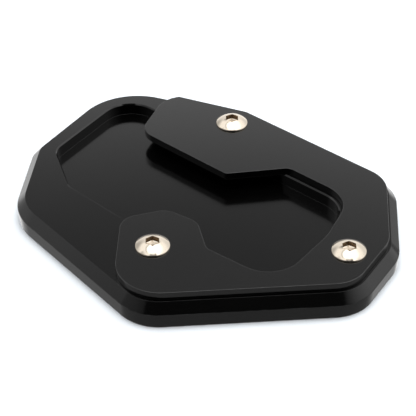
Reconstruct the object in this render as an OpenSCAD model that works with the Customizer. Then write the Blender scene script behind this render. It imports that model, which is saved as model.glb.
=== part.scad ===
/* [Base plate] */
// Height from the ground face to the top face
base_h = 7.9; // [7:0.1:10]
// Height of the side wall, from the ground face up to the widest line
wall_h = 4.9; // [4:0.1:5.2]
// How far the side wall leans in at the ground face
wall_lean = 0.3; // [0.1:0.1:0.8]
// Width of the broad chamfer round the top face
chamfer_w = 2.7; // [2:0.1:3.4]
// Small break along the edge of the ground face
ground_break = 0.3; // [0.1:0.1:0.6]
// Centre to the front side
front_reach = 55.8; // [54.2:0.5:59.7]
// Centre to the right side
right_reach = 60.6; // [58.6:0.2:63]
// Centre to the rear side
rear_reach = 43.8; // [42.7:0.2:46.4]
// Centre to the left side
left_reach = 59; // [57.5:0.2:61.9]
// Corner of the front and right sides in to the right front side
right_front_cut = 9.4; // [8.3:0.1:11.1]
// Corner of the right and rear sides in to the right rear side
right_rear_cut = 17.2; // [16:0.1:18.5]
// Corner of the rear and left sides in to the left rear side
left_rear_cut = 20.7; // [18.8:0.1:22.1]
// Corner of the left and front sides in to the left front side
left_front_cut = 36.8; // [34.3:0.1:38.7]
// Radius of the corners along the front and at the right
corner_r = 14.7; // [12.2:0.1:16.6]
// Radius of the corner between the right rear and rear sides
rear_right_r = 9.9; // [7.7:0.5:12.2]
// Radius of the corner between the rear and left rear sides
rear_left_r = 22.7; // [19.9:0.5:25.4]
// Radius of the corner between the left rear and left sides
left_rear_r = 9.4; // [7.7:0.5:11.1]
// Radius of the corner between the left and left front sides
left_front_r = 18.8; // [16.6:0.5:21]

/* [Foot pocket] */
// Depth of the pocket below the top face
pocket_depth = 4.1; // [3.4:0.1:5]
// Small bevel along the pocket rim
rim_bevel = 0.4; // [0.2:0.1:0.8]
// Left front side in to the lower near wall
near_rim = 23.8; // [22.1:0.5:25.4]
// Right front side in to the lower right wall
right_rim = 21.1; // [19.9:0.1:22.7]
// Right rear side in to the far wall
far_rim = 20; // [19:0.1:21.8]
// Left rear side in to the left end wall
left_end_rim = 7.3; // [6.2:0.1:8.8]
// Left side in to the lower left wall
lower_left_rim = 17.2; // [15.5:0.1:18.8]
// Lower near wall, from the pocket's front corner to its bend
near_wall_run = 56.6; // [50.8:0.2:61.9]
// Lower right wall, from the pocket's front corner to its bend
right_wall_run = 27.9; // [24.3:0.2:30.9]
// Radius of the pocket's main corners
pocket_r = 10.5; // [8.8:0.5:12.2]
// Radius of the corner at the pocket's left end
left_end_r = 6.5; // [4.5:0.5:9]
// Radius of the bend in the near wall
near_bend_r = 22.1; // [16.6:1:27.6]
// Radius of the bend in the right wall
right_bend_r = 16.6; // [13.3:0.5:19.9]
// Radius of the corner between the lower left and near walls
lower_left_r = 4.4; // [2.2:0.5:8.8]

/* [Clamp plate] */
// Thickness of the clamp plate
clamp_t = 2.5; // [2:0.1:3.5]
// Step from the base plate's top edge in to the clamp plate's edge
clamp_setback = 0.8; // [0.3:0.1:1.3]
// Width of the ledge between the pocket rim and the window edge
ledge = 0.7; // [0.4:0.1:1.1]
// How far the long finger reaches over the pocket from its far wall
finger_overhang = 14.8; // [11.1:0.2:15.5]
// How far the lower window edge reaches over the pocket
near_overhang = 1.8; // [0.9:0.1:2.7]
// Rear screw to the tip of the long finger
finger_tip = 26.9; // [24.3:0.1:27.6]
// Rear screw to the step where the window widens
finger_step = 27.5; // [26:0.1:28.7]
// Corner of the long finger's rear and tip edges in to its slanted edge
finger_cut = 2.7; // [2.5:0.1:3.4]
// Radius of the corner where the long finger's rear edge meets its slanted edge
finger_crest_r = 0.6; // [0.4:0.1:0.8]
// Radius of the corner between the long finger's slanted edge and its tip
finger_back_r = 9.5; // [6:0.5:9.5]
// Radius of the corner at the tip of the long finger, over the pocket
finger_tip_r = 6.9; // [4.4:0.1:8.8]
// Radius of the corner where the long finger ends over the pocket
finger_heel_r = 1.9; // [1.1:0.1:3.3]
// Radius of the corner where the window widens
finger_step_r = 4; // [2.2:0.1:5.5]
// Left screw to the left edge of the short finger
lobe_left = 10.5; // [8.8:0.1:11.1]
// Left screw to the top edge of the short finger
lobe_top = 15.7; // [14.4:0.1:17]
// Left screw to the right edge of the short finger
lobe_right = 15.4; // [14.4:0.1:16.1]
// Corner of the short finger's top and right edges in to its slanted edge
lobe_cut = 6; // [5:0.1:7]
// Radius of the inner corner at the foot of the short finger
lobe_foot_r = 3.3; // [2.2:0.1:5.5]
// Radius of the short finger's two corners beside its slanted edge
lobe_tip_r = 5.5; // [3:0.5:7]
// Radius of the short finger's top left corner
lobe_shoulder_r = 6.2; // [4:0.2:9]
// Radius of the clamp plate's left front corner
lobe_heel_r = 13.6; // [9.9:0.1:14.4]

/* [Clamp screws] */
// Thread diameter
thread_d = 6; // [5:0.1:6.4]
// Length under the head
screw_l = 8; // [7:0.5:10]
// Diameter of the domed head
head_d = 10.5; // [9.5:0.1:11.5]
// Height of the straight rim below the dome
head_rim = 0.4; // [0.2:0.05:0.8]
// Height of the whole head, to the top of its dome
head_h = 2.4; // [2:0.05:3.3]
// Hexagon socket across its flats
socket_af = 4; // [3:0.1:4.5]
// Depth of the hexagon socket
socket_depth = 2; // [1.5:0.1:2.3]
// Rear screw in from the rear side
rear_screw_edge = 11.6; // [11:0.1:12.2]
// Rear screw in from the right rear side
rear_screw_right = 11.9; // [11.3:0.1:12.5]
// Right screw in from the right front side
right_screw_edge = 11.6; // [10.5:0.1:13.3]
// Right screw in from the front side
right_screw_front = 17.5; // [15.5:0.1:19.3]
// Left screw in from the left front side
left_screw_edge = 19.2; // [18.3:0.1:20.3]
// Left screw in from the front side
left_screw_front = 24.4; // [23.2:0.1:25.4]
// Play between the thread and its tapped hole, on the diameter
thread_play = 0.1; // [0.06:0.02:0.3]
// Play between the thread and the hole in the clamp plate, on the diameter
hole_play = 0.6; // [0.3:0.1:1]

/* [Ground face grooves] */
// Number of grip grooves
groove_count = 7; // [3:2:7]
// Distance from groove to groove
groove_pitch = 8; // [6:0.5:8]
// Width of a groove
groove_w = 2.6; // [1:0.2:3.6]
// Depth of a groove
groove_depth = 0.8; // [0.4:0.1:1.2]
// Plain border left between the grooves' ends and the side of the plate
groove_border = 10; // [8:0.5:13]

/* [Hidden] */
$fn = 64;
cut = 1;          // how far a cutting shape runs past the face it opens
arc_steps = 10;   // straight steps in each rounded corner
anodised = [0.09, 0.09, 0.1];
anodised_plate = [0.16, 0.16, 0.17];
nickel = [0.8, 0.77, 0.72];

top_edge = chamfer_w + clamp_setback;   // widest line in to the edge of the clamp plate
clamp_z = base_h;
head_z = clamp_z + clamp_t;
pocket_floor = base_h - pocket_depth;

// A side of an outline is [heading, reach, radius of the corner at its end].
// Headings turn counter-clockwise, and the piece lies on the left of each side.
front_side = [0, front_reach, corner_r];
right_side = [81, right_reach, corner_r];
rear_side = [155, rear_reach, rear_left_r];
left_side = [260, left_reach, left_front_r];
right_front_side = cut_side(53, right_front_cut, corner_r, front_side, right_side);
right_rear_side = cut_side(135, right_rear_cut, rear_right_r, right_side, rear_side);
left_rear_side = cut_side(233, left_rear_cut, left_rear_r, rear_side, left_side);
left_front_side = cut_side(306, left_front_cut, corner_r, left_side, front_side);
base_sides = [
    front_side, right_front_side, right_side, right_rear_side,
    rear_side, left_rear_side, left_side, left_front_side
];

// The pocket's walls lie in from the sides of the plate by their rims. Its near
// and right walls each have a bend at the end of their run from the front corner.
lower_near_wall = [319, left_front_side[1] - near_rim, pocket_r];
lower_right_wall = [48, right_front_side[1] - right_rim, right_bend_r];
front_corner = meeting(lower_near_wall, lower_right_wall);
near_bend = front_corner - near_wall_run * along(lower_near_wall[0]);
right_bend = front_corner + right_wall_run * along(lower_right_wall[0]);
near_wall = [313, outward(313) * near_bend, near_bend_r];
upper_right_wall = [60, outward(60) * right_bend, pocket_r];
far_wall = [135, right_rear_side[1] - far_rim, pocket_r];
left_end_wall = [231, left_rear_side[1] - left_end_rim, left_end_r];
lower_left_wall = [283, left_side[1] - lower_left_rim, lower_left_r];
pocket_sides = [
    near_wall, lower_near_wall, lower_right_wall, upper_right_wall,
    far_wall, left_end_wall, lower_left_wall
];

rear_screw = meeting(rear_side, right_rear_side, rear_screw_edge, rear_screw_right);
right_screw = meeting(right_front_side, front_side, right_screw_edge, right_screw_front);
left_screw = meeting(left_front_side, front_side, left_screw_edge, left_screw_front);
screw_spots = [rear_screw, right_screw, left_screw];
socket_turns = [24, 25, 29];

// Round the outside the clamp plate follows the base plate, and round the window
// it follows the pocket. Its two fingers are set out from the screws that hold them.
// Its rear edge runs out a little from the side of the base plate.
rear_corner = meeting(right_rear_side, rear_side, top_edge, top_edge);
finger_rear_edge = [153.5, outward(153.5) * rear_corner, finger_crest_r];
finger_tip_edge = [244.5, off_point(rear_screw, 244.5, finger_tip), finger_tip_r];
lobe_right_edge = [98, off_point(left_screw, 98, lobe_right), lobe_tip_r];
lobe_top_edge = [192, off_point(left_screw, 192, lobe_top), lobe_shoulder_r];
clamp_sides = [
    moved_in(front_side, top_edge),
    moved_in(right_front_side, top_edge),
    moved_in(right_side, top_edge),
    moved_in(right_rear_side, top_edge),
    finger_rear_edge,
    cut_side(192, finger_cut, finger_back_r, finger_rear_edge, finger_tip_edge),
    finger_tip_edge,
    [315, finger_overhang - far_wall[1], finger_heel_r],
    [4, off_point(rear_screw, 4, finger_step), finger_step_r],
    window_edge(far_wall, pocket_r),
    window_edge(upper_right_wall, right_bend_r),
    window_edge(lower_right_wall, pocket_r),
    [139, near_overhang - lower_near_wall[1], lobe_foot_r],
    lobe_right_edge,
    cut_side(143, lobe_cut, lobe_tip_r, lobe_right_edge, lobe_top_edge),
    lobe_top_edge,
    [264, off_point(left_screw, 264, lobe_left), lobe_heel_r]
];

// Outward direction of a side with this heading
function outward(heading) = [sin(heading), -cos(heading)];

// Direction in which a side with this heading runs
function along(heading) = [cos(heading), sin(heading)];

// Side that cuts off the corner of two others, measured in from their meeting point
function cut_side(heading, depth, radius, side_a, side_b) =
    [heading, outward(heading) * meeting(side_a, side_b) - depth, radius];

// Edge of the window along a pocket wall, a ledge outside it. The window runs the
// other way round, and the corner at its end is concentric with the pocket's.
function window_edge(wall, radius) =
    [(wall[0] + 180) % 360, -wall[1] - ledge, radius + ledge];

// Reach of a side with this heading that lies a distance outward of a point
function off_point(point, heading, distance) = outward(heading) * point + distance;

// The same side, moved towards the piece, with its corner kept concentric
function moved_in(side, inset) =
    [side[0], side[1] - inset, side[2] - inset];

// Point that lies in from two sides by the two distances
function meeting(side_a, side_b, in_a = 0, in_b = 0) =
    let (
        a = outward(side_a[0]),
        b = outward(side_b[0]),
        ra = side_a[1] - in_a,
        rb = side_b[1] - in_b,
        d = a.x * b.y - a.y * b.x
    )
    [(ra * b.y - rb * a.y) / d, (a.x * rb - b.x * ra) / d];

// Turn from one side to the next, from -180 to 180
function turn_between(a, b) = (b[0] - a[0] + 540) % 360 - 180;

// Points of the rounded corner between a side and the next one
function corner_arc(a, b, inset) =
    let (
        turn = turn_between(a, b),
        hand = sign(turn),
        r = max(a[2] - hand * inset, 0.01),
        tip = meeting(a, b, inset, inset),
        centre = tip - r * tan(abs(turn) / 2) * along(a[0]) - hand * r * outward(a[0])
    )
    [for (k = [0 : arc_steps]) centre + hand * r * outward(a[0] + turn * k / arc_steps)];

// Points of a whole outline, with every side moved in by inset
function outline(sides, inset = 0) =
    [for (k = [0 : len(sides) - 1])
        each corner_arc(sides[k], sides[(k + 1) % len(sides)], inset)];

// Solid through the outline at several levels, each level being [height, inset]
module stacked(sides, levels) {
    count = len(sides) * (arc_steps + 1);
    top = (len(levels) - 1) * count;
    points = [for (level = levels)
        each [for (p = outline(sides, level[1])) [p.x, p.y, level[0]]]];
    ground_face = [for (k = [0 : count - 1]) k];
    top_face = [for (k = [0 : count - 1]) top + count - 1 - k];
    walls = [for (s = [0 : len(levels) - 2]) for (k = [0 : count - 1])
        let (
            low = s * count,
            next = (k + 1) % count
        )
        each [
            [low + k, low + count + k, low + next],
            [low + next, low + count + k, low + count + next]
        ]];
    polyhedron(points, concat([ground_face, top_face], walls), convexity = 6);
}

// Round shapes at every screw
module at_screws() {
    for (spot = screw_spots) translate([spot.x, spot.y, 0]) children();
}

// One groove along X with round ends, cut between the plate's own sides
module groove(y) {
    ends = [for (side = base_sides)
        let (n = outward(side[0]))
        [n.x, (side[1] - groove_border - n.y * y) / (n.x == 0 ? 1 : n.x)]];
    x_right = min([for (e = ends) if (e[0] > 0.01) e[1]]);
    x_left = max([for (e = ends) if (e[0] < -0.01) e[1]]);
    translate([x_left, y - groove_w / 2, -cut])
        cube([x_right - x_left, groove_w, groove_depth + cut]);
    for (x = [x_left, x_right]) translate([x, y, -cut])
        cylinder(d = groove_w, h = groove_depth + cut);
}

module base_plate() {
    color(anodised) difference() {
        stacked(base_sides, [
            [0, wall_lean + ground_break],
            [ground_break, wall_lean],
            [wall_h, 0],
            [base_h, chamfer_w]
        ]);
        stacked(pocket_sides, [
            [pocket_floor, rim_bevel],
            [base_h - rim_bevel, rim_bevel],
            [base_h, 0],
            [base_h + cut, -cut]
        ]);
        at_screws() translate([0, 0, -cut])
            cylinder(d = thread_d + thread_play, h = base_h + 2 * cut);
        for (k = [0 : groove_count - 1]) groove((k - (groove_count - 1) / 2) * groove_pitch);
    }
}

module clamp_plate() {
    color(anodised_plate) difference() {
        translate([0, 0, clamp_z]) linear_extrude(clamp_t) polygon(outline(clamp_sides));
        at_screws() translate([0, 0, clamp_z - cut])
            cylinder(d = thread_d + hole_play, h = clamp_t + 2 * cut);
    }
}

// Domed cap screw, with its seat at the origin
module screw(socket_turn) {
    dome_h = head_h - head_rim;
    dome_r = (head_d * head_d / 4 + dome_h * dome_h) / (2 * dome_h);
    difference() {
        union() {
            intersection() {
                translate([0, 0, head_h - dome_r]) sphere(dome_r);
                cylinder(d = head_d, h = head_h);
            }
            translate([0, 0, -screw_l]) cylinder(d = thread_d, h = screw_l);
        }
        rotate([0, 0, socket_turn]) translate([0, 0, head_h - socket_depth])
            cylinder(d = socket_af / cos(30), h = socket_depth + cut, $fn = 6);
    }
}

module clamp_screws() {
    color(nickel) for (k = [0 : 2])
        translate([screw_spots[k].x, screw_spots[k].y, head_z]) screw(socket_turns[k]);
}

base_plate();
clamp_plate();
clamp_screws();
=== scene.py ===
import math
import bmesh
import bpy
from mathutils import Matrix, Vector


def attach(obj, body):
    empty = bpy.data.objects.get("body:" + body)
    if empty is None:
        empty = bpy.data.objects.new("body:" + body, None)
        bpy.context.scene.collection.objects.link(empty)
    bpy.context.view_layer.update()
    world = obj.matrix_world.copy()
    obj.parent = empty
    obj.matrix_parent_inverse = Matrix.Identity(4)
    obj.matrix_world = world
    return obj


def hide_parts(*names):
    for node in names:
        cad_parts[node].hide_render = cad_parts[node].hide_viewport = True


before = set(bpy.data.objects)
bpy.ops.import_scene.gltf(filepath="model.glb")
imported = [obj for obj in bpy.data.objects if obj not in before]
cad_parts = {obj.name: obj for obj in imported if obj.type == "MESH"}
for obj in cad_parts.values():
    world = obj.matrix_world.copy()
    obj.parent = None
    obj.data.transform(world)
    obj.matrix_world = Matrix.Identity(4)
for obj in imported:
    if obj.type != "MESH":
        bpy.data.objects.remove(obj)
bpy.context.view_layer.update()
print("frame loaded:", ", ".join(sorted(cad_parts)))

mm = 0.001            # lengths of the pieces are in millimetres, as in the part's source
cornerSteps = 14      # faces round a corner of an outline
circleSteps = 40      # faces round a hole
roundSteps = 4        # faces across a rounded edge
flatBorder = 0.4      # flat ring beside a rounded edge
leastRadius = 0.01    # of a corner that is moved in past its own centre


# outlines: a side is (heading in degrees, reach from the centre, radius of the corner at its end)
def outward(heading):
    turned = math.radians(heading)
    return Vector((math.sin(turned), -math.cos(turned)))


def alongSide(heading):
    turned = math.radians(heading)
    return Vector((math.cos(turned), math.sin(turned)))


def meeting(sideA, sideB, inA=0.0, inB=0.0):
    # the point that lies in from both sides by the two distances
    a, b = outward(sideA[0]), outward(sideB[0])
    ra, rb = sideA[1] - inA, sideB[1] - inB
    d = a.x * b.y - a.y * b.x
    return Vector(((ra * b.y - rb * a.y) / d, (a.x * rb - b.x * ra) / d))


def cutSide(heading, depth, radius, sideA, sideB):
    # cuts off the corner of two sides, measured in from their meeting point
    return heading, outward(heading).dot(meeting(sideA, sideB)) - depth, radius


def offPoint(point, heading, distance=0.0):
    # reach of a side that stands off a point, or goes through it
    return outward(heading).dot(point) + distance


def movedIn(side, inset):
    return side[0], side[1] - inset, side[2] - inset


def outlineRing(sides, inset):
    # points of the rounded outline with the outward direction at each
    ring = []
    for k, side in enumerate(sides):
        heading = side[0]
        following = sides[(k + 1) % len(sides)]
        turn = (following[0] - heading + 540) % 360 - 180      # from -180 to 180
        hand = 1 if turn > 0 else -1      # -1 where the outline bends inwards
        radius = max(side[2] - hand * inset, leastRadius)
        back = radius * math.tan(math.radians(abs(turn) / 2))
        corner = meeting(side, following, inset, inset)
        centre = corner - alongSide(heading) * back - outward(heading) * hand * radius
        for i in range(cornerSteps + 1):
            facing = outward(heading + turn * i / cornerSteps)
            ring.append((centre + facing * hand * radius, facing))
    return ring


def circleRing(centre, radius, steps=circleSteps):
    ring = []
    for i in range(steps):
        facing = outward(360 * i / steps)
        ring.append((centre + facing * radius, facing))
    return ring


def roundedProfile(corners):
    # corners are (inset, height, radius); gives (inset, height, out, up, edge) with tangent arcs
    points = [Vector(c[:2]) for c in corners]
    ways = [(b - a).normalized() for a, b in zip(points, points[1:])]
    rows = [(points[0].x, points[0].y, ways[0].y, ways[0].x, 0)]
    for k in range(1, len(points) - 1):
        before, after, radius = ways[k - 1], ways[k], corners[k][2]
        turn = math.atan2(before.x * after.y - before.y * after.x, before.dot(after))
        start = points[k] - before * radius * math.tan(abs(turn) / 2)
        hand = 1 if turn > 0 else -1
        centre = start + Vector((-before.y, before.x)) * hand * radius
        for i in range(roundSteps + 1):
            a = turn * i / roundSteps
            way = Vector((before.x * math.cos(a) - before.y * math.sin(a),
                          before.x * math.sin(a) + before.y * math.cos(a)))
            spot = centre - Vector((-way.y, way.x)) * hand * radius
            rows.append((spot.x, spot.y, way.y, way.x, math.sin(math.pi * i / roundSteps)))
    rows.append((points[-1].x, points[-1].y, ways[-1].y, ways[-1].x, 0))
    return rows


class PlateMesh:
    # walls come from rings at the levels of a profile, flat faces fill between loops
    def __init__(self):
        self.bm = bmesh.new()
        self.normals = []
        self.edges = []      # 1 in the middle of a rounded edge, for the wear and the painted highlight along the edges

    def vertex(self, spot, height, normal, edge):
        self.normals.append(normal)
        self.edges.append(edge)
        return self.bm.verts.new((spot.x * mm, spot.y * mm, height * mm))

    def walls(self, ringAt, profile):
        rows = []
        for inset, height, out, up, edge in profile:
            rows.append([self.vertex(spot, height, (facing.x * out, facing.y * out, up), edge)
                         for spot, facing in ringAt(inset)])
        for low, high in zip(rows, rows[1:]):
            for k in range(len(low)):
                j = (k + 1) % len(low)
                self.bm.faces.new((low[k], low[j], high[j], high[k]))
        return rows[0], rows[-1]

    def flatLoop(self, ring, height):
        loop = [self.vertex(spot, height, (0, 0, 1), 0) for spot, facing in ring]
        for k, v in enumerate(loop):
            self.bm.edges.new((v, loop[(k + 1) % len(loop)]))
        return loop

    def fill(self, loops, up):
        edges = []
        for loop in loops:
            for k, v in enumerate(loop):
                edges.append(self.bm.edges.get((v, loop[(k + 1) % len(loop)])))
        made = bmesh.ops.triangle_fill(self.bm, edges=edges, use_beauty=True, normal=(0, 0, up))
        for item in made["geom"]:
            if isinstance(item, bmesh.types.BMFace):
                item.normal_update()
                if item.normal.z * up < 0:
                    item.normal_flip()

    def finish(self, name):
        mesh = bpy.data.meshes.new(name)
        self.bm.to_mesh(mesh)
        self.bm.free()
        mesh.polygons.foreach_set("use_smooth", [True] * len(mesh.polygons))
        mesh.normals_split_custom_set_from_vertices(self.normals)
        mesh.attributes.new("edge", "FLOAT", "POINT").data.foreach_set("value", self.edges)
        return putInScene(name, mesh)


def putInScene(name, data):
    made = bpy.data.objects.new(name, data)
    bpy.context.scene.collection.objects.link(made)
    return made


# node helpers
def addNode(tree, kind, **values):
    node = tree.nodes.new(kind)
    for key, value in values.items():
        setattr(node, key, value)
    return node


def setInput(tree, node, key, value):
    # a socket takes either a link or a plain value
    if isinstance(value, bpy.types.NodeSocket):
        tree.links.new(value, node.inputs[key])
    else:
        node.inputs[key].default_value = value


def mathNode(tree, operation, a, b=0.0, c=0.0):
    node = addNode(tree, "ShaderNodeMath", operation=operation)
    for key, value in enumerate((a, b, c)):
        setInput(tree, node, key, value)
    return node.outputs[0]


def noiseNode(tree, place, scale, detail, stretch=None):
    if stretch:
        stretched = addNode(tree, "ShaderNodeVectorMath", operation="MULTIPLY")
        setInput(tree, stretched, 0, place)
        setInput(tree, stretched, 1, stretch)
        place = stretched.outputs[0]
    node = addNode(tree, "ShaderNodeTexNoise")
    for key, value in (("Vector", place), ("Scale", scale), ("Detail", detail)):
        setInput(tree, node, key, value)
    return node.outputs["Fac"]


def rangeNode(tree, value, fromMin, fromMax, toMin, toMax, kind="LINEAR"):
    node = addNode(tree, "ShaderNodeMapRange", interpolation_type=kind)
    for key, number in (("Value", value), ("From Min", fromMin), ("From Max", fromMax),
                        ("To Min", toMin), ("To Max", toMax)):
        setInput(tree, node, key, number)
    return node.outputs["Result"]


def newMaterial(name):
    # the material, its tree, its shader and its object coordinates
    mat = bpy.data.materials.new(name)
    mat.use_nodes = True
    tree = mat.node_tree
    place = tree.nodes.new("ShaderNodeTexCoord").outputs["Object"]
    return mat, tree, tree.nodes["Principled BSDF"], place


# black anodised aluminium, of both plates; each plate's dictionary holds its own look
def anodisedMaterial(name, look):
    mat, tree, shader, place = newMaterial(name)
    cloud = noiseNode(tree, place, look["cloud"], detail=4)
    grain = noiseNode(tree, place, look["grain"], detail=3)
    milled = noiseNode(tree, place, 1, detail=2, stretch=look["milling"])
    # dye a little uneven; lighter along the rounded edges in patches, partly wear and partly a painted
    # highlight
    tint = addNode(tree, "ShaderNodeValToRGB")
    stops = tint.color_ramp.elements
    for stop, position, tintShares in zip(stops, look["cloudSpan"], (look["deepTint"], look["paleTint"])):
        stop.position = position
        stop.color = [look["tone"] * share for share in tintShares] + [1]
    setInput(tree, tint, "Fac", cloud)
    edge = addNode(tree, "ShaderNodeAttribute", attribute_name="edge")
    patches = noiseNode(tree, place, look["wearAndSheenScale"], detail=5)
    patches = rangeNode(tree, patches, *look["wearAndSheenSpan"], 0, look["wearAndSheen"])
    wearAndSheenMask = mathNode(tree, "MULTIPLY", edge.outputs["Fac"], patches)
    dyeWearAndSheen = addNode(tree, "ShaderNodeMix", data_type="RGBA")
    setInput(tree, dyeWearAndSheen, "Factor", wearAndSheenMask)
    setInput(tree, dyeWearAndSheen, "A", tint.outputs["Color"])
    setInput(tree, dyeWearAndSheen, "B", [look["wearAndSheenTone"]] * 3 + [1])
    setInput(tree, shader, "Base Color", dyeWearAndSheen.outputs["Result"])
    smooth, coarse = (look["rough"] * share for share in look["roughSpread"])
    rough = rangeNode(tree, grain, *look["grainSpan"], smooth, coarse)
    setInput(tree, shader, "Roughness", mathNode(tree, "MULTIPLY_ADD", wearAndSheenMask, look["wornRough"], rough))
    bump = addNode(tree, "ShaderNodeBump")
    setInput(tree, bump, "Strength", look["grainBump"])
    setInput(tree, bump, "Distance", look["bumpHeight"] * mm)
    setInput(tree, bump, "Height", mathNode(tree, "MULTIPLY_ADD", milled, look["millingDepth"], grain))
    setInput(tree, shader, "Normal", bump.outputs["Normal"])
    setInput(tree, shader, "IOR", look["ior"])
    setInput(tree, shader, "Specular IOR Level", look["level"])
    return mat


# base plate
basePlate = {
    "height": 7.9, "wallHeight": 4.9, "wallLean": 0.3, "chamferWidth": 2.7,
    "groundRound": 0.3, "edgeRound": 0.4, "topRound": 0.06,
    # the four long sides by their reach, and the cuts over the corners between them
    "headings": {"front": 0, "rightFront": 53, "right": 81, "rightRear": 135,
                 "rear": 155, "leftRear": 233, "left": 260, "leftFront": 306},
    "front": 55.8, "right": 60.6, "rear": 43.8, "left": 59,
    "rightFrontCut": 9.4, "rightRearCut": 17.2, "leftRearCut": 20.7, "leftFrontCut": 36.8,
    "cornerRadius": 14.7, "rearRightRadius": 9.9, "rearLeftRadius": 22.7,
    "leftRearRadius": 9.4, "leftFrontRadius": 18.8,
    # pocket, its walls set in from the plate's sides by the rims; two walls bend after a run
    "pocketDepth": 4.1, "rimBevel": 0.4, "rimRound": 0.06, "floorFillet": 0.05,
    "wallHeadings": {"near": 313, "lowerNear": 319, "lowerRight": 48, "upperRight": 60,
                     "far": 135, "leftEnd": 231, "lowerLeft": 283},
    "nearRim": 23.8, "rightRim": 21.1, "farRim": 20, "leftEndRim": 7.3, "lowerLeftRim": 17.2,
    "nearWallRun": 56.6, "rightWallRun": 27.9, "pocketRadius": 10.5, "leftEndRadius": 6.5,
    "nearBendRadius": 22.1, "rightBendRadius": 16.6, "lowerLeftRadius": 4.4,
    # tapped holes and the grip grooves underneath
    "borePlay": 0.05, "boreMouthRound": 0.1, "boreFootRound": 0.3,
    "grooveCount": 7, "groovePitch": 8, "grooveWidth": 2.6, "grooveDepth": 0.8, "grooveBorder": 10,
    "grooveFillet": 0.3, "grooveEdgeRound": 0.15, "grooveEndSteps": 8,
    # look; the lighter colour along the edges is partly wear, partly a painted highlight
    "tone": 0.0006, "deepTint": (0.6, 0.6, 0.64), "paleTint": (1.4, 1.36, 1.3),
    "cloud": 55, "cloudSpan": (0.3, 0.7),
    "ior": 1.58, "level": 0.5, "rough": 0.13, "roughSpread": (0.9, 1.12),
    "grain": 5200, "grainSpan": (0.3, 0.7), "grainBump": 0.05, "bumpHeight": 0.02,
    "milling": (60, 1900, 60), "millingDepth": 0.8,
    "wearAndSheen": 0.35, "wearAndSheenScale": 420, "wearAndSheenSpan": (0.45, 0.62), "wearAndSheenTone": 0.05, "wornRough": 0.2,
}


def findPlateSides():
    b = basePlate
    h = b["headings"]
    front = (h["front"], b["front"], b["cornerRadius"])
    right = (h["right"], b["right"], b["cornerRadius"])
    rear = (h["rear"], b["rear"], b["rearLeftRadius"])
    left = (h["left"], b["left"], b["leftFrontRadius"])
    return {
        "front": front,
        "rightFront": cutSide(h["rightFront"], b["rightFrontCut"], b["cornerRadius"], front, right),
        "right": right,
        "rightRear": cutSide(h["rightRear"], b["rightRearCut"], b["rearRightRadius"], right, rear),
        "rear": rear,
        "leftRear": cutSide(h["leftRear"], b["leftRearCut"], b["leftRearRadius"], rear, left),
        "left": left,
        "leftFront": cutSide(h["leftFront"], b["leftFrontCut"], b["cornerRadius"], left, front),
    }


def findPocketWalls(sides):
    b = basePlate
    h = b["wallHeadings"]
    lowerNear = (h["lowerNear"], sides["leftFront"][1] - b["nearRim"], b["pocketRadius"])
    lowerRight = (h["lowerRight"], sides["rightFront"][1] - b["rightRim"], b["rightBendRadius"])
    # the near and right walls bend a run away from the corner between them
    corner = meeting(lowerNear, lowerRight)
    nearBend = corner - alongSide(h["lowerNear"]) * b["nearWallRun"]
    rightBend = corner + alongSide(h["lowerRight"]) * b["rightWallRun"]
    return {
        "near": (h["near"], offPoint(nearBend, h["near"]), b["nearBendRadius"]),
        "lowerNear": lowerNear,
        "lowerRight": lowerRight,
        "upperRight": (h["upperRight"], offPoint(rightBend, h["upperRight"]), b["pocketRadius"]),
        "far": (h["far"], sides["rightRear"][1] - b["farRim"], b["pocketRadius"]),
        "leftEnd": (h["leftEnd"], sides["leftRear"][1] - b["leftEndRim"], b["leftEndRadius"]),
        "lowerLeft": (h["lowerLeft"], sides["left"][1] - b["lowerLeftRim"], b["lowerLeftRadius"]),
    }


def grooveEnds(sides, y):
    # left and right end of the groove at y, a border away from the outline
    ends = []
    for heading, reach, _ in sides:
        n = outward(heading)
        if abs(n.x) > 0.01:      # leaves out a side that runs along the grooves
            ends.append((n.x, (reach - basePlate["grooveBorder"] - n.y * y) / n.x))
    return max(x for n, x in ends if n < 0), min(x for n, x in ends if n > 0)


def grooveRing(y, xLeft, xRight, inset):
    radius = basePlate["grooveWidth"] / 2 - inset
    steps = basePlate["grooveEndSteps"]
    ring = []
    for centreX, first in ((xRight, 0), (xLeft, 180)):
        for i in range(steps + 1):
            facing = outward(first + 180 * i / steps)
            ring.append((Vector((centreX, y)) + facing * radius, facing))
    return ring


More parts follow.
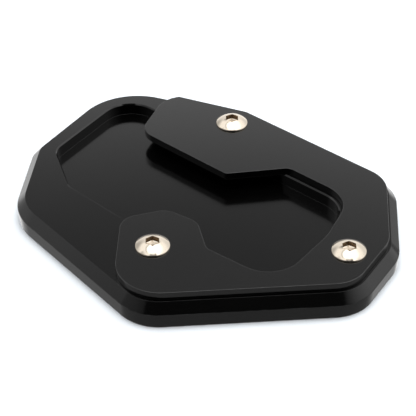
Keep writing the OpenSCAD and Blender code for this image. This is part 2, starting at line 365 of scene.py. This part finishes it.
def makeBasePlate(plateSides, pocketWalls, screwSpots):
    b = basePlate
    sides, walls = list(plateSides.values()), list(pocketWalls.values())
    shape = PlateMesh()
    ground, top = shape.walls(lambda inset: outlineRing(sides, inset), roundedProfile([
        (b["wallLean"] + flatBorder, 0, 0),
        (b["wallLean"], 0, b["groundRound"]),
        (0, b["wallHeight"], b["edgeRound"]),
        (b["chamferWidth"], b["height"], b["topRound"]),
        (b["chamferWidth"] + flatBorder, b["height"], 0)]))
    floorHeight = b["height"] - b["pocketDepth"]
    rim, pocketFloor = shape.walls(lambda inset: outlineRing(walls, inset), roundedProfile([
        (-flatBorder, b["height"], 0),
        (0, b["height"], b["rimRound"]),
        (b["rimBevel"], b["height"] - b["rimBevel"], b["rimRound"]),
        (b["rimBevel"], floorHeight, b["floorFillet"]),
        (b["rimBevel"] + flatBorder, floorHeight, 0)]))
    topLoops, groundLoops = [top, rim], [ground]
    boreRadius = clampScrew["threadDiameter"] / 2 + b["borePlay"]
    for spot in screwSpots.values():
        mouth, foot = shape.walls(lambda inset: circleRing(spot, boreRadius - inset), roundedProfile([
            (-flatBorder, b["height"], 0),
            (0, b["height"], b["boreMouthRound"]),
            (0, 0, b["boreFootRound"]),
            (-flatBorder, 0, 0)]))
        topLoops.append(mouth)
        groundLoops.append(foot)
    for k in range(b["grooveCount"]):
        y = (k - (b["grooveCount"] - 1) / 2) * b["groovePitch"]
        xLeft, xRight = grooveEnds(sides, y)
        profile = roundedProfile([
            (flatBorder, b["grooveDepth"], 0),
            (0, b["grooveDepth"], b["grooveFillet"]),
            (0, 0, b["grooveEdgeRound"]),
            (-flatBorder, 0, 0)])
        floorLoop, mouthLoop = shape.walls(lambda inset: grooveRing(y, xLeft, xRight, inset), profile)
        shape.fill([floorLoop], -1)
        groundLoops.append(mouthLoop)
    shape.fill([pocketFloor], 1)
    shape.fill(topLoops, 1)
    shape.fill(groundLoops, -1)
    return shape.finish("basePlate")


# clamp plate
clampPlate = {
    "thickness": 2.5, "setback": 0.8, "edgeRound": 0.18, "underRound": 0.2,
    "holePlay": 0.6, "holeRound": 0.15,
    # edges after the four that follow the base plate's sides
    "headings": {"fingerRear": 153.5, "fingerCut": 192, "fingerTip": 244.5, "fingerFront": 315,
                 "fingerStep": 4, "lobeFoot": 139, "lobeRight": 98, "lobeCut": 143, "lobeTop": 192,
                 "lobeLeft": 264},
    # long finger over the far side of the pocket, its tip and step measured from the rear screw
    "fingerOverhang": 14.8, "fingerTip": 26.9, "fingerStep": 27.5, "fingerCut": 2.7,
    "fingerCrestRadius": 0.6, "fingerBackRadius": 9.5, "fingerTipRadius": 6.9, "fingerHeelRadius": 1.9,
    "fingerStepRadius": 4,
    # window a ledge outside the pocket, and the short finger's lobe round the left screw
    "ledge": 0.7, "nearOverhang": 1.8, "lobeLeft": 10.5, "lobeTop": 15.7, "lobeRight": 15.4, "lobeCut": 6,
    "lobeFootRadius": 3.3, "lobeTipRadius": 5.5, "lobeShoulderRadius": 6.2, "lobeHeelRadius": 13.6,
    # look; the lighter colour along the edges is partly wear, partly a painted highlight
    "tone": 0.0007, "deepTint": (0.6, 0.6, 0.64), "paleTint": (1.4, 1.36, 1.3),
    "cloud": 55, "cloudSpan": (0.3, 0.7),
    "ior": 1.58, "level": 0.68, "rough": 0.15, "roughSpread": (0.9, 1.12),
    "grain": 4600, "grainSpan": (0.3, 0.7), "grainBump": 0.06, "bumpHeight": 0.02,
    "milling": (1900, 60, 60), "millingDepth": 0.8,
    "wearAndSheen": 0.35, "wearAndSheenScale": 380, "wearAndSheenSpan": (0.45, 0.62), "wearAndSheenTone": 0.06, "wornRough": 0.2,
}


def windowEdge(wall, radius):
    # edge of the window a ledge outside a pocket wall; the window runs the other way round
    ledge = clampPlate["ledge"]
    return (wall[0] + 180) % 360, -wall[1] - ledge, radius + ledge


def findClampEdges(plateSides, pocketWalls, screwSpots):
    b, c = basePlate, clampPlate
    h = c["headings"]
    rearScrew, leftScrew = screwSpots["rear"], screwSpots["left"]
    topEdge = b["chamferWidth"] + c["setback"]
    rearCorner = meeting(plateSides["rightRear"], plateSides["rear"], topEdge, topEdge)
    rear = (h["fingerRear"], offPoint(rearCorner, h["fingerRear"]), c["fingerCrestRadius"])
    tip = (h["fingerTip"], offPoint(rearScrew, h["fingerTip"], c["fingerTip"]), c["fingerTipRadius"])
    lobeRight = (h["lobeRight"], offPoint(leftScrew, h["lobeRight"], c["lobeRight"]), c["lobeTipRadius"])
    lobeTop = (h["lobeTop"], offPoint(leftScrew, h["lobeTop"], c["lobeTop"]), c["lobeShoulderRadius"])
    followed = ("front", "rightFront", "right", "rightRear")
    return [movedIn(plateSides[name], topEdge) for name in followed] + [
        rear,
        cutSide(h["fingerCut"], c["fingerCut"], c["fingerBackRadius"], rear, tip),
        tip,
        (h["fingerFront"], c["fingerOverhang"] - pocketWalls["far"][1], c["fingerHeelRadius"]),
        (h["fingerStep"], offPoint(rearScrew, h["fingerStep"], c["fingerStep"]), c["fingerStepRadius"]),
        windowEdge(pocketWalls["far"], b["pocketRadius"]),
        windowEdge(pocketWalls["upperRight"], b["rightBendRadius"]),
        windowEdge(pocketWalls["lowerRight"], b["pocketRadius"]),
        (h["lobeFoot"], c["nearOverhang"] - pocketWalls["lowerNear"][1], c["lobeFootRadius"]),
        lobeRight,
        cutSide(h["lobeCut"], c["lobeCut"], c["lobeTipRadius"], lobeRight, lobeTop),
        lobeTop,
        (h["lobeLeft"], offPoint(leftScrew, h["lobeLeft"], c["lobeLeft"]), c["lobeHeelRadius"]),
    ]


def headSeat():
    # height of the clamp plate's top, where the heads sit
    return basePlate["height"] + clampPlate["thickness"]


def makeClampPlate(edges, screwSpots):
    c = clampPlate
    low, high = basePlate["height"], headSeat()
    shape = PlateMesh()
    under, top = shape.walls(lambda inset: outlineRing(edges, inset), roundedProfile([
        (flatBorder, low, 0),
        (0, low, c["underRound"]),
        (0, high, c["edgeRound"]),
        (flatBorder, high, 0)]))
    topLoops, underLoops = [top], [under]
    holeRadius = (clampScrew["threadDiameter"] + c["holePlay"]) / 2
    for spot in screwSpots.values():
        mouth, foot = shape.walls(lambda inset: circleRing(spot, holeRadius - inset), roundedProfile([
            (-flatBorder, high, 0),
            (0, high, c["holeRound"]),
            (0, low, c["holeRound"]),
            (-flatBorder, low, 0)]))
        topLoops.append(mouth)
        underLoops.append(foot)
    shape.fill(topLoops, 1)
    shape.fill(underLoops, -1)
    return shape.finish("clampPlate")


# clamp screws
clampScrew = {
    # places, in from the two sides of the plate next to each
    "rearEdge": 11.6, "rearRight": 11.9, "rightEdge": 11.6, "rightFront": 17.5,
    "leftEdge": 19.2, "leftFront": 24.4,
    # thread, with its points across one pitch and round one turn
    "threadDiameter": 6, "length": 8, "pitch": 1, "threadDepth": 0.55, "pointsAcross": 5, "pointsRound": 32,
    "runout": 1 / 3,      # of a turn, at both ends of the thread
    # head, its edge as steps (in from the side, up from the seat or from the rim)
    "headDiameter": 10.5, "headRim": 0.4, "headHeight": 2.4, "headSteps": 48, "seatInset": 0.3,
    "lowerEdge": ((0.25, 0), (0.1, 0.03), (0.02, 0.12)),
    "upperEdge": ((0, -0.16), (0.02, -0.03), (0.09, 0.09), (0.2, 0.18)),
    "domeInset": 0.33, "domeSteps": 14, "sharpAngle": 35,
    # hexagon socket, turned as in the photograph, with the drill's point in its floor
    "socketFlats": 4, "socketDepth": 2, "socketTurns": (24, 25, 29), "mouthBorder": 0.05, "mouthRound": 0.03,
    "socketFillet": 0.04, "drillShare": 0.8, "drillStart": 0.1, "drillPoint": 0.6,
    # look
    "color": (0.76, 0.68, 0.57), "hazeTint": (0.94, 0.92, 0.9), "haze": 900,
    # the socket walls' darker colour is painted shade
    "socketShadeColor": (0.4, 0.31, 0.22),
    "rough": 0.11, "roughSpread": (0.8, 1.3), "floorRough": 0.2,
}


def findScrewSpots(sides):
    s = clampScrew
    return {
        "rear": meeting(sides["rear"], sides["rightRear"], s["rearEdge"], s["rearRight"]),
        "right": meeting(sides["rightFront"], sides["front"], s["rightEdge"], s["rightFront"]),
        "left": meeting(sides["leftFront"], sides["front"], s["leftEdge"], s["leftFront"]),
    }


def makeScrewHead():
    # domed head with its seat at the origin and a hexagon socket
    s = clampScrew
    steps, tall = s["headSteps"], s["headHeight"]
    half, flat = s["headDiameter"] / 2, s["socketFlats"] / 2
    rise = tall - s["headRim"]
    domeRadius = (half * half + rise * rise) / (2 * rise)
    floorHeight = tall - s["socketDepth"]
    bm = bmesh.new()
    rings = []

    def domeHeight(r):
        return tall - domeRadius + math.sqrt(domeRadius * domeRadius - r * r)

    def hexRadius(angle):
        return flat / math.cos(math.radians(angle % 60 - 30))

    def ring(radius, height):
        # the radius may follow the angle, and the height the radius
        made = []
        for i in range(steps):
            angle = 360 * i / steps
            r = radius(angle) if callable(radius) else radius
            h = height(r) if callable(height) else height
            turned = math.radians(angle)
            made.append(bm.verts.new((r * math.cos(turned) * mm, r * math.sin(turned) * mm, h * mm)))
        rings.append(made)

    ring(s["threadDiameter"] / 2 - s["seatInset"], 0)
    for inset, up in s["lowerEdge"]:
        ring(half - inset, up)
    for inset, up in s["upperEdge"]:
        ring(half - inset, s["headRim"] + up)
    domeEdge, mouth = half - s["domeInset"], hexRadius(0) + s["mouthBorder"]
    for i in range(s["domeSteps"] + 1):
        ring(domeEdge + (mouth - domeEdge) * i / s["domeSteps"], domeHeight)
    ring(lambda a: hexRadius(a) + s["mouthRound"], domeHeight)
    ring(hexRadius, lambda r: domeHeight(r) - s["mouthRound"])
    ring(hexRadius, floorHeight + s["socketFillet"])
    ring(lambda a: hexRadius(a) - s["socketFillet"], floorHeight)
    ring(flat * s["drillShare"], floorHeight - s["drillStart"])
    drill = bm.verts.new((0, 0, (floorHeight - s["drillPoint"]) * mm))
    seat = bm.verts.new((0, 0, -s["seatInset"] * mm))
    for k in range(steps):
        j = (k + 1) % steps
        for low, high in zip(rings, rings[1:]):
            bm.faces.new((low[k], low[j], high[j], high[k]))
        bm.faces.new((rings[-1][k], rings[-1][j], drill))
        bm.faces.new((rings[0][j], rings[0][k], seat))
    mesh = bpy.data.meshes.new("screwHead")
    bm.to_mesh(mesh)
    bm.free()
    mesh.polygons.foreach_set("use_smooth", [True] * len(mesh.polygons))
    mesh.set_sharp_from_angle(angle=math.radians(s["sharpAngle"]))
    # marks for the material: the last two rings are the socket's floor, the two before them its walls
    count = len(rings)
    for name, first, last in (("socketWall", count - 4, count - 3), ("socketFloor", count - 2, count)):
        marks = [float(first <= k // steps <= last) for k in range(len(mesh.vertices))]
        mesh.attributes.new(name, "FLOAT", "POINT").data.foreach_set("value", marks)
    return bpy.data.objects.new("screwHead", mesh)


def screwTree():
    # thread swept by a rule along its helix, joined to the head, and set on every point
    tree = bpy.data.node_groups.new("clampScrewTree", "GeometryNodeTree")
    face = tree.interface
    face.new_socket("Geometry", in_out="OUTPUT", socket_type="NodeSocketGeometry")
    for name, kind in (("Points", "Geometry"), ("Head", "Object"), ("Thread Radius", "Float"),
                       ("Thread Depth", "Float"), ("Pitch", "Float"), ("Length", "Float"),
                       ("Finish", "Material")):
        face.new_socket(name, in_out="INPUT", socket_type="NodeSocket" + kind)
    source = tree.nodes.new("NodeGroupInput").outputs
    sink = tree.nodes.new("NodeGroupOutput")
    threadRadius, threadDepth = source["Thread Radius"], source["Thread Depth"]
    across, roundTurn = clampScrew["pointsAcross"], clampScrew["pointsRound"]
    runoutShare, coreShare = 1.04, 0.96      # of the thread's depth: the run-out ends inside the core

    def plus(a, b):
        return mathNode(tree, "ADD", a, b)

    def minus(a, b):
        return mathNode(tree, "SUBTRACT", a, b)

    def times(a, b):
        return mathNode(tree, "MULTIPLY", a, b)

    # flat grid, one column along the helix for each step of a turn
    sweepLength = minus(source["Length"], source["Pitch"])
    turns = mathNode(tree, "DIVIDE", sweepLength, source["Pitch"])
    grid = tree.nodes.new("GeometryNodeMeshGrid")
    for key, value in (("Size X", 1.0), ("Size Y", 1.0), ("Vertices Y", across),
                       ("Vertices X", plus(mathNode(tree, "ROUND", times(turns, roundTurn)), 1))):
        setInput(tree, grid, key, value)
    place = tree.nodes.new("ShaderNodeSeparateXYZ")
    tree.links.new(tree.nodes.new("GeometryNodeInputPosition").outputs[0], place.inputs[0])
    u = plus(place.outputs[0], 0.5)      # 0 to 1 along the helix
    v = plus(place.outputs[1], 0.5)      # 0 to 1 across one pitch
    angle = times(times(u, turns), 2 * math.pi)
    crest = mathNode(tree, "PINGPONG", times(v, 2.0), 1.0)
    radius = minus(threadRadius, times(minus(1.0, crest), threadDepth))
    # the thread runs out into the core at both ends
    core = minus(threadRadius, times(threadDepth, runoutShare))
    nearEnd = mathNode(tree, "MINIMUM", u, minus(1.0, u))
    runout = mathNode(tree, "MINIMUM", times(nearEnd, times(turns, 1 / clampScrew["runout"])), 1.0)
    radius = mathNode(tree, "MULTIPLY_ADD", minus(radius, core), runout, core)
    down = plus(times(u, sweepLength), times(v, source["Pitch"]))
    spot = tree.nodes.new("ShaderNodeCombineXYZ")
    setInput(tree, spot, 0, times(radius, mathNode(tree, "COSINE", angle)))
    setInput(tree, spot, 1, times(radius, mathNode(tree, "SINE", angle)))
    setInput(tree, spot, 2, times(down, -1.0))
    sweep = tree.nodes.new("GeometryNodeSetPosition")
    setInput(tree, sweep, "Geometry", grid.outputs["Mesh"])
    setInput(tree, sweep, "Position", spot.outputs[0])
    thread = tree.nodes.new("GeometryNodeFlipFaces")
    setInput(tree, thread, 0, sweep.outputs[0])

    # core under the thread, down to the screw's tip
    tip = addNode(tree, "GeometryNodeMeshCylinder", fill_type="NGON")
    setInput(tree, tip, "Vertices", roundTurn)
    setInput(tree, tip, "Radius", minus(threadRadius, times(threadDepth, coreShare)))
    setInput(tree, tip, "Depth", source["Length"])
    shift = tree.nodes.new("ShaderNodeCombineXYZ")
    setInput(tree, shift, 2, times(source["Length"], -0.5))
    lower = tree.nodes.new("GeometryNodeTransform")
    setInput(tree, lower, "Geometry", tip.outputs["Mesh"])
    setInput(tree, lower, "Translation", shift.outputs[0])

    head = tree.nodes.new("GeometryNodeObjectInfo")
    setInput(tree, head, "Object", source["Head"])
    whole = tree.nodes.new("GeometryNodeJoinGeometry")
    for part in (lower.outputs[0], thread.outputs[0], head.outputs["Geometry"]):
        tree.links.new(part, whole.inputs[0])

    # a copy on every point, turned as the point says
    turnOf = addNode(tree, "GeometryNodeInputNamedAttribute", data_type="FLOAT")
    setInput(tree, turnOf, "Name", "turn")
    spin = tree.nodes.new("ShaderNodeCombineXYZ")
    setInput(tree, spin, 2, turnOf.outputs["Attribute"])
    copies = tree.nodes.new("GeometryNodeInstanceOnPoints")
    setInput(tree, copies, "Points", source["Points"])
    setInput(tree, copies, "Instance", whole.outputs[0])
    setInput(tree, copies, "Rotation", spin.outputs[0])
    real = tree.nodes.new("GeometryNodeRealizeInstances")
    setInput(tree, real, 0, copies.outputs[0])
    seam = tree.nodes.new("GeometryNodeMergeByDistance")
    setInput(tree, seam, "Geometry", real.outputs[0])
    setInput(tree, seam, "Distance", 0.002 * mm)      # welds each turn of the thread to the next
    finish = tree.nodes.new("GeometryNodeSetMaterial")
    setInput(tree, finish, "Geometry", seam.outputs[0])
    setInput(tree, finish, "Material", source["Finish"])
    setInput(tree, sink, 0, finish.outputs[0])
    return tree


def makeScrews(screwSpots, finish):
    s = clampScrew
    head = makeScrewHead()
    points = bpy.data.meshes.new("screwPoints")
    points.from_pydata([(p.x * mm, p.y * mm, headSeat() * mm) for p in screwSpots.values()], [], [])
    turns = points.attributes.new("turn", "FLOAT", "POINT")
    turns.data.foreach_set("value", [math.radians(a) for a in s["socketTurns"]])
    holder = putInScene("screwPoints", points)
    tree = screwTree()
    values = {"Head": head, "Finish": finish, "Thread Radius": s["threadDiameter"] / 2 * mm,
              "Thread Depth": s["threadDepth"] * mm, "Pitch": s["pitch"] * mm, "Length": s["length"] * mm}
    mod = holder.modifiers.new("clampScrews", "NODES")
    mod.node_group = tree
    for item in tree.interface.items_tree:
        if item.in_out == "INPUT" and item.name in values:
            mod[item.identifier] = values[item.name]
    seen = holder.evaluated_get(bpy.context.evaluated_depsgraph_get())
    mesh = bpy.data.meshes.new_from_object(seen)
    mesh.name = "clampScrews"
    holder.modifiers.remove(mod)
    for helper in (holder, head):
        bpy.data.objects.remove(helper)
    return putInScene("clampScrews", mesh)


def nickelMaterial():
    look = clampScrew
    mat, tree, shader, place = newMaterial("nickelPlate")
    haze = noiseNode(tree, place, look["haze"], detail=5)
    tint = addNode(tree, "ShaderNodeValToRGB")
    tint.color_ramp.elements[0].color = [a * b for a, b in zip(look["color"], look["hazeTint"])] + [1]
    tint.color_ramp.elements[1].color = (*look["color"], 1)
    setInput(tree, tint, "Fac", haze)
    # painted shade darkens the socket's walls
    inside = addNode(tree, "ShaderNodeAttribute", attribute_name="socketWall")
    socketShade = addNode(tree, "ShaderNodeMix", data_type="RGBA")
    setInput(tree, socketShade, "Factor", inside.outputs["Fac"])
    setInput(tree, socketShade, "A", tint.outputs["Color"])
    setInput(tree, socketShade, "B", (*look["socketShadeColor"], 1))
    setInput(tree, shader, "Base Color", socketShade.outputs["Result"])
    smooth, coarse = (look["rough"] * share for share in look["roughSpread"])
    rough = rangeNode(tree, haze, 0, 1, smooth, coarse)
    forged = addNode(tree, "ShaderNodeAttribute", attribute_name="socketFloor")
    rough = mathNode(tree, "MULTIPLY_ADD", forged.outputs["Fac"], look["floorRough"], rough)
    setInput(tree, shader, "Roughness", rough)
    setInput(tree, shader, "Metallic", 1.0)
    return mat


# studio
studio = {
    # camera in metres, and the lamp over the floor
    "cameraPlace": (-0.02476, -0.32252, 0.25653), "cameraAim": (0.00057, -0.0016, 0.0), "lens": 111.1,
    "fill": 1.35, "fillAngle": 40,
    # the floor has an opening under the plate, so that the underside can be seen
    "floorRadius": 1500, "floorSteps": 64, "floorDrop": 0.03, "floorInset": 2.5,
    "floorColor": (0.87, 0.91, 0.95), "floorRough": 0.6, "floorLevel": 0.1,
}


def makeFloor(plateSides):
    s = studio
    shape = PlateMesh()
    outer = circleRing(Vector((0, 0)), s["floorRadius"], s["floorSteps"])
    opening = outlineRing(list(plateSides.values()), s["floorInset"])
    shape.fill([shape.flatLoop(ring, -s["floorDrop"]) for ring in (outer, opening)], 1)
    floor = shape.finish("studioFloor")
    mat = bpy.data.materials.new("paleFloor")
    mat.use_nodes = True
    tree = mat.node_tree
    shader = tree.nodes["Principled BSDF"]
    setInput(tree, shader, "Base Color", (*s["floorColor"], 1))
    setInput(tree, shader, "Roughness", s["floorRough"])
    setInput(tree, shader, "Specular IOR Level", s["floorLevel"])
    # clear from below
    side = tree.nodes.new("ShaderNodeNewGeometry")
    clear = tree.nodes.new("ShaderNodeBsdfTransparent")
    mix = tree.nodes.new("ShaderNodeMixShader")
    for key, value in enumerate((side.outputs["Backfacing"], shader.outputs[0], clear.outputs[0])):
        setInput(tree, mix, key, value)
    setInput(tree, tree.nodes["Material Output"], "Surface", mix.outputs[0])
    floor.data.materials.append(mat)
    floor.visible_glossy = False      # the plate mirrors the lower half of the tent instead


def makeFill():
    # whitens the floor from straight above and stays out of the reflections
    data = bpy.data.lights.new("floorFill", "SUN")
    data.energy = studio["fill"]
    data.angle = math.radians(studio["fillAngle"])
    fill = putInScene("floorFill", data)
    fill.location = (0, 0, 1)
    fill.visible_glossy = False


# light tent: brightness of its parts, and in degrees the spans over which one fades into the next,
# by azimuth from the rear, positive to the right, or by elevation
tent = {
    "left": 0.72, "leftRear": 0.56, "leftFront": 0.42, "leftDim": 0.4, "leftEnd": 0.12, "leftHigh": 1.3,
    "right": 0.97, "rightDim": 0.04, "rightHigh": 1.35, "rightTop": 1.9, "overhead": 2.1,
    "leftRearSpan": (-72, -48), "leftFrontSpan": (-92, -78), "leftDimSpan": (-132, -96),
    "leftEndSpan": (-143, -135), "leftHighSpan": (22, 44), "toRightSpan": (-20, 30),
    "rightDimSpan": (96, 150), "rightHighSpan": (16, 40), "topSpan": (44, 58), "overheadSpan": (64, 69),
    # glow over the rear horizon
    "glow": 0.64, "glowEdge": 33.7, "glowFade": 2.6, "glowLimit": 1.25, "glowLift": 1.12, "rearHigh": 0.23,
    "glowLiftSpan": (5, 15), "glowLeftSpan": (-38, -14), "glowRightSpan": (40, 18),
    # seam of the sheet overhead, and the dark gap where the camera stands
    "seam": 0.6, "seamLowSpan": (59, 63), "seamHighSpan": (68, 65),
    "seamLeftSpan": (-125, -100), "seamRightSpan": (-10, -30),
    "gap": 0.03, "gapSpan": (144, 152), "gapTopSpan": (72, 60),
    # lower half
    "lowFront": 0.28, "lowSide": 0.88, "lowRear": 1.3, "lowSideSpan": (84, 32), "lowRearSpan": (42, 34),
    "horizonLeft": 0.65, "horizonRight": 0.33, "horizonUpSpan": (-13, -6), "horizonOutSpan": (36, 44),
    "horizonSpan": (-1.5, 1),
}


def makeWorld():
    t = tent
    world = bpy.data.worlds.new("studioTent")
    bpy.context.scene.world = world
    world.use_nodes = True
    tree = world.node_tree
    way = tree.nodes.new("ShaderNodeSeparateXYZ")
    tree.links.new(tree.nodes.new("ShaderNodeTexCoord").outputs["Generated"], way.inputs[0])
    azimuth = mathNode(tree, "DEGREES", mathNode(tree, "ARCTAN2", way.outputs[0], way.outputs[1]))
    elevation = mathNode(tree, "DEGREES", mathNode(tree, "ARCSINE", way.outputs[2]))
    fromRear = mathNode(tree, "ABSOLUTE", azimuth)

    def step(value, span, low=0.0, high=1.0, kind="SMOOTHSTEP"):
        return rangeNode(tree, value, *t[span], low, high, kind)

    def blend(weight, under, over):
        node = addNode(tree, "ShaderNodeMix", data_type="FLOAT")
        for key, value in (("Factor", weight), ("A", under), ("B", over)):
            setInput(tree, node, key, value)
        return node.outputs["Result"]

    def times(*values):
        product = values[0]
        for value in values[1:]:
            product = mathNode(tree, "MULTIPLY", product, value)
        return product

    # left and right sheets of the tent, falling off towards the camera
    toRight = step(azimuth, "toRightSpan")
    left = step(azimuth, "leftRearSpan", t["left"], t["leftRear"])
    left = times(blend(step(elevation, "leftHighSpan"), left, t["leftHigh"]),
                 step(azimuth, "leftFrontSpan", t["leftFront"], 1),
                 step(azimuth, "leftDimSpan", t["leftDim"], 1, "LINEAR"),
                 step(azimuth, "leftEndSpan", t["leftEnd"], 1))
    right = times(blend(step(elevation, "rightHighSpan"), t["right"], t["rightHigh"]),
                  step(azimuth, "rightDimSpan", 1, t["rightDim"], "LINEAR"))
    level = blend(toRight, left, right)
    # bright strip along the rear horizon, fading upwards
    below = mathNode(tree, "SUBTRACT", t["glowEdge"], elevation)
    fade = mathNode(tree, "EXPONENT", mathNode(tree, "DIVIDE", below, t["glowFade"]))
    fade = mathNode(tree, "MINIMUM", fade, t["glowLimit"])
    glow = mathNode(tree, "MULTIPLY_ADD", fade, t["glow"], t["rearHigh"])
    glow = times(glow, step(azimuth, "glowLiftSpan", 1, t["glowLift"]))
    level = blend(times(step(azimuth, "glowLeftSpan"), step(azimuth, "glowRightSpan")), level, glow)
    # the sheet overhead, with a seam on its left, and the dark gap where the camera stands
    level = blend(step(elevation, "topSpan"), level, blend(toRight, t["leftHigh"], t["rightTop"]))
    level = blend(step(elevation, "overheadSpan"), level, t["overhead"])
    seam = times(step(elevation, "seamLowSpan"), step(elevation, "seamHighSpan"),
                 step(azimuth, "seamLeftSpan"), step(azimuth, "seamRightSpan"))
    level = times(level, blend(seam, 1.0, t["seam"]))
    level = blend(times(step(fromRear, "gapSpan"), step(elevation, "gapTopSpan")), level, t["gap"])
    # the lower half: what the walls and chamfers mirror of the floor
    low = step(fromRear, "lowSideSpan", t["lowFront"], t["lowSide"])
    low = blend(step(fromRear, "lowRearSpan"), low, t["lowRear"])
    nearHorizon = times(step(elevation, "horizonUpSpan"), step(fromRear, "horizonOutSpan"))
    low = blend(nearHorizon, low, blend(toRight, t["horizonLeft"], t["horizonRight"]))
    level = blend(step(elevation, "horizonSpan"), low, level)
    back = tree.nodes["Background"]
    setInput(tree, back, "Strength", level)
    setInput(tree, back, "Color", (1, 1, 1, 1))


def makeCamera():
    data = bpy.data.cameras.new("photoCamera")
    data.lens = studio["lens"]
    data.sensor_width = 36
    data.clip_start = 0.01
    data.clip_end = 20
    camera = putInScene("photoCamera", data)
    place = Vector(studio["cameraPlace"])
    camera.location = place
    camera.rotation_euler = (Vector(studio["cameraAim"]) - place).to_track_quat("-Z", "Y").to_euler()
    bpy.context.scene.camera = camera


# outlines first, because every piece takes its places from them
plateSides = findPlateSides()
pocketWalls = findPocketWalls(plateSides)
screwSpots = findScrewSpots(plateSides)
clampEdges = findClampEdges(plateSides, pocketWalls, screwSpots)
print("outlines found:", len(plateSides), len(pocketWalls), "and", len(clampEdges), "sides")

makeCamera()
makeWorld()
makeFloor(plateSides)
makeFill()
bpy.context.scene.view_settings.view_transform = "Standard"
bpy.context.scene.view_settings.look = "None"
print("camera, light and floor made")

basePiece = makeBasePlate(plateSides, pocketWalls, screwSpots)
basePiece.data.materials.append(anodisedMaterial("anodisedBase", basePlate))
print("base plate made:", len(basePiece.data.polygons), "faces")
clampPiece = makeClampPlate(clampEdges, screwSpots)
clampPiece.data.materials.append(anodisedMaterial("anodisedClamp", clampPlate))
print("clamp plate made:", len(clampPiece.data.polygons), "faces")
screwPiece = makeScrews(screwSpots, nickelMaterial())
print("screws made:", len(screwPiece.data.polygons), "faces")

for piece, node, slot in ((basePiece, "base_plate", "anodised_base"),
                          (clampPiece, "clamp_plate", "anodised_clamp"),
                          (screwPiece, "clamp_screws", "nickel")):
    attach(piece, "root")
    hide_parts(node)

print("pieces placed")
